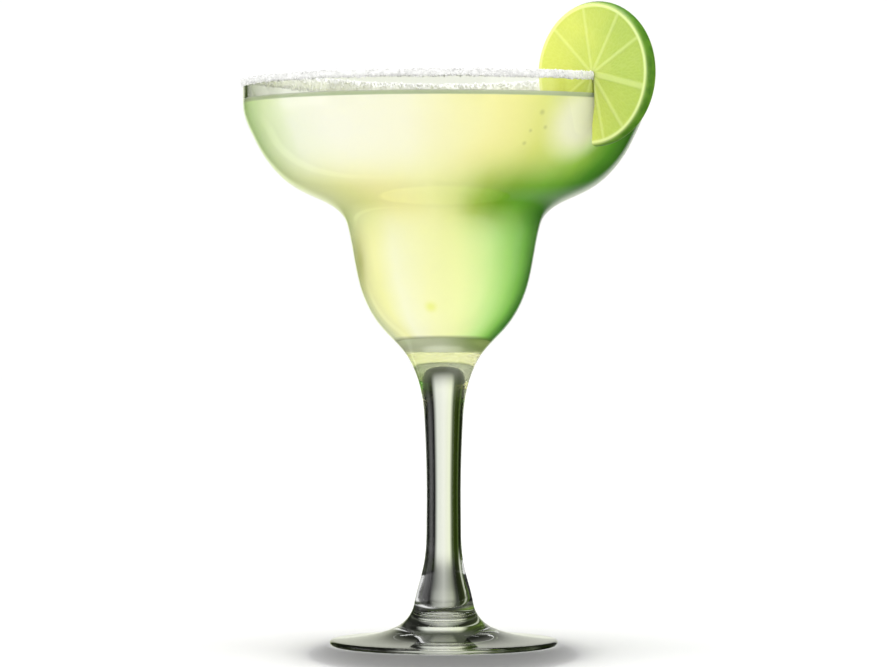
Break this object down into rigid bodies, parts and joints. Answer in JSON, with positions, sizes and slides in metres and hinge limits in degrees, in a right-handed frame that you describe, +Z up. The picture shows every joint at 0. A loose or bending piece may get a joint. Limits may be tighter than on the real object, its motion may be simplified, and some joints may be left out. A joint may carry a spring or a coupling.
{
  "type": "margarita cocktail",
  "caption": "Margarita in a stemmed glass with a stepped bowl, a salted rim and a wheel of lime astride the rim.",
  "frame": {"origin": "centre of the underside of the foot, on the axis of the glass", "axes": "+Z up along the axis of the glass; the lime wheel stands in the vertical plane that leaves the axis 42 degrees from +X towards -Y"},
  "size_m": [0.1178, 0.1178, 0.1832],
  "materials": {
    "glass": "clear polished soda-lime glass",
    "drink": "cloudy pale yellow-green liquid",
    "salt": "crusted white salt grains",
    "lime": "moist lime flesh with pale pith and green rind"
  },
  "bodies": {
    "root": {"glass": "glass", "drink": "drink", "salt_rim": "salt", "lime_slice": "lime"}
  },
  "joints": []
}
